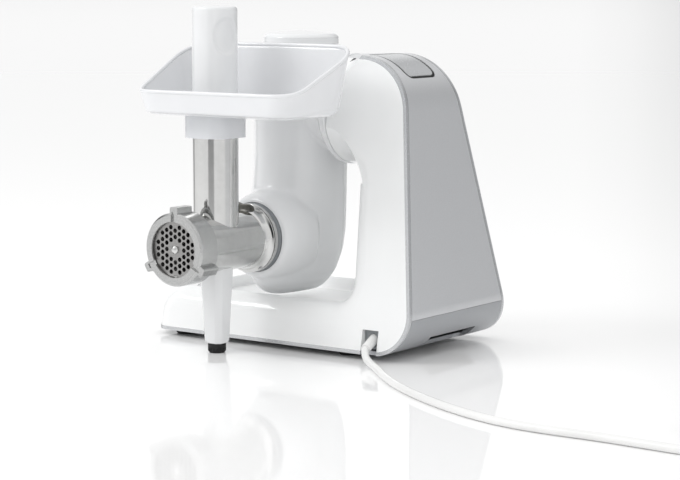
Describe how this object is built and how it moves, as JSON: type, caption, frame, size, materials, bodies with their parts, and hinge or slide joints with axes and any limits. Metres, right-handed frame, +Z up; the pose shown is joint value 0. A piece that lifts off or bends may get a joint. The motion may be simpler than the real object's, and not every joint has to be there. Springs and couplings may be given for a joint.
{
  "type": "electric meat grinder",
  "caption": "Electric kitchen meat grinder: C-shaped drive unit with a swivelling motor arm and a side-mounted steel mincer with feed tray, pusher and support leg.",
  "frame": {"origin": "centre of the machine's footprint on the table, without its cord", "axes": "+Z up from the table; +X from the tip of the foot to the heel; the mincer points to -Y"},
  "size_m": [0.763, 0.3539, 0.3265],
  "materials": {
    "white_gloss": "glossy injection-moulded",
    "silver_paint": "satin silver lacquer",
    "silver_strip": "brighter satin silver edge strip",
    "silver_tail": "satin silver-grey",
    "base_plastic": "fine grained",
    "black_rubber": "moulded",
    "grey_plastic": "smooth light grey",
    "drive_grey": "smooth grey",
    "polished_steel": "polished",
    "cast_alloy": "tumbled and polished casting",
    "plate_steel": "ground flat",
    "steel": "machined",
    "sintered_bronze": "sintered",
    "gear_plastic": "moulded acetal",
    "board_green": "solder mask",
    "stator_iron": "laminated",
    "cord_white": "smooth sheath",
    "knob_grey": "smooth",
    "spring_steel": "coiled wire"
  },
  "bodies": {
    "drive_unit": {"c_housing": "white_gloss", "edge_strips": "silver_strip", "silver_shell": "silver_paint", "base_tail": "silver_tail", "base_plate": "base_plastic", "rubber_feet": "black_rubber", "base_screws": "steel", "control_board": "board_green", "speed_switch": "grey_plastic", "cord_gland": "drive_grey", "strain_relief": "cord_white", "cord_tube": "cord_white", "cord_coil": "cord_white", "plug_body": "cord_white", "plug_pins": "polished_steel", "button_bezel": "drive_grey", "button_spring": "spring_steel", "swivel_bearing": "gear_plastic"},
    "release": {"release_button": "silver_strip"},
    "knob": {"speed_knob": "knob_grey", "knob_spindle": "steel"},
    "arm": {"arm_shell": "white_gloss", "arm_rear_cover": "white_gloss", "arm_collar": "white_gloss", "swivel_hub": "cast_alloy", "retaining_ring": "spring_steel", "drive_ring": "drive_grey", "gear_plate_front": "steel", "gear_plate_rear": "steel", "plain_bushes": "sintered_bronze", "output_bearing": "sintered_bronze", "motor_stator": "stator_iron"},
    "cap": {"top_cap": "white_gloss"},
    "rotor": {"motor_rotor": "steel", "motor_pinion": "steel"},
    "first": {"first_gear": "gear_plastic", "first_pinion": "steel", "first_shaft": "steel"},
    "second": {"second_gear": "gear_plastic", "second_pinion": "steel", "second_shaft": "steel"},
    "output": {"output_gear": "gear_plastic", "output_spindle": "steel"},
    "coupling_bush": {"rear_bush": "gear_plastic"},
    "mincer": {"mincer_housing": "cast_alloy", "bayonet_flange": "cast_alloy", "support_leg": "white_gloss", "leg_foot": "black_rubber"},
    "worm_set": {"worm": "cast_alloy", "drive_tang": "gear_plastic", "knife": "plate_steel"},
    "plate": {"perforated_plate": "plate_steel"},
    "nut": {"ring_nut": "cast_alloy"},
    "tray_set": {"tray": "white_gloss", "tray_socket": "grey_plastic"},
    "pusher_set": {"pusher": "white_gloss"}
  },
  "joints": [
    {"name": "arm_swivel", "type": "hinge", "parent": "drive_unit", "child": "arm", "pos_m": [0.03418, 0.05365, 0.2265], "axis": [1, 0, 0], "range_deg": [-90, 0]},
    {"name": "release_press", "type": "slide", "parent": "drive_unit", "child": "release", "axis": [-0.3907, 0, -0.9205], "range_m": [0, 0.003], "stiffness_N_per_m": 700, "deforming": ["button_spring"]},
    {"name": "knob_turn", "type": "hinge", "parent": "drive_unit", "child": "knob", "pos_m": [0.10818, 0.11997, 0.1255], "axis": [0, 0.9833, 0.1819], "range_deg": [-30, 120]},
    {"name": "cap_lift", "type": "slide", "parent": "arm", "child": "cap", "axis": [0, 0, 1], "range_m": [0, 0.03]},
    {"name": "output_spin", "type": "hinge", "parent": "arm", "child": "output", "pos_m": [-0.03282, 0.01365, 0.104], "axis": [0, 1, 0], "continuous": true},
    {"name": "second_spin", "type": "hinge", "parent": "arm", "child": "second", "pos_m": [-0.03282, 0.03365, 0.14], "axis": [0, 1, 0], "continuous": true},
    {"name": "first_spin", "type": "hinge", "parent": "arm", "child": "first", "pos_m": [-0.03282, 0.04365, 0.18], "axis": [0, 1, 0], "continuous": true},
    {"name": "motor_spin", "type": "hinge", "parent": "arm", "child": "rotor", "pos_m": [-0.03282, 0.05365, 0.222], "axis": [0, 1, 0], "continuous": true},
    {"name": "mincer_slide", "type": "slide", "parent": "arm", "child": "coupling_bush", "axis": [0, -1, 0], "range_m": [0, 0.12]},
    {"name": "mincer_twist", "type": "hinge", "parent": "coupling_bush", "child": "mincer", "pos_m": [-0.03282, -0.02935, 0.104], "axis": [0, 1, 0], "range_deg": [-20, 0]},
    {"name": "worm_spin", "type": "hinge", "parent": "coupling_bush", "child": "worm_set", "pos_m": [-0.03282, -0.06635, 0.104], "axis": [0, 1, 0], "continuous": true},
    {"name": "plate_slide", "type": "slide", "parent": "mincer", "child": "plate", "axis": [0, -1, 0], "range_m": [0, 0.0081]},
    {"name": "nut_turn", "type": "hinge", "parent": "plate", "child": "nut", "pos_m": [-0.03282, -0.12635, 0.104], "axis": [0, -1, 0], "range_deg": [0, 720]},
    {"name": "tray_lift", "type": "slide", "parent": "mincer", "child": "tray_set", "axis": [0, 0, 1], "range_m": [0, 0.06]},
    {"name": "pusher_lift", "type": "slide", "parent": "mincer", "child": "pusher_set", "axis": [0, 0, 1], "range_m": [0, 0.12]}
  ],
  "couplings": [
    {"joint": "second_spin", "follows": "output_spin", "ratio": -3},
    {"joint": "first_spin", "follows": "output_spin", "ratio": 9},
    {"joint": "motor_spin", "follows": "output_spin", "ratio": -33},
    {"joint": "worm_spin", "follows": "output_spin", "ratio": 1},
    {"joint": "plate_slide", "follows": "nut_turn", "m_per_rad": 0.00063662}
  ]
}
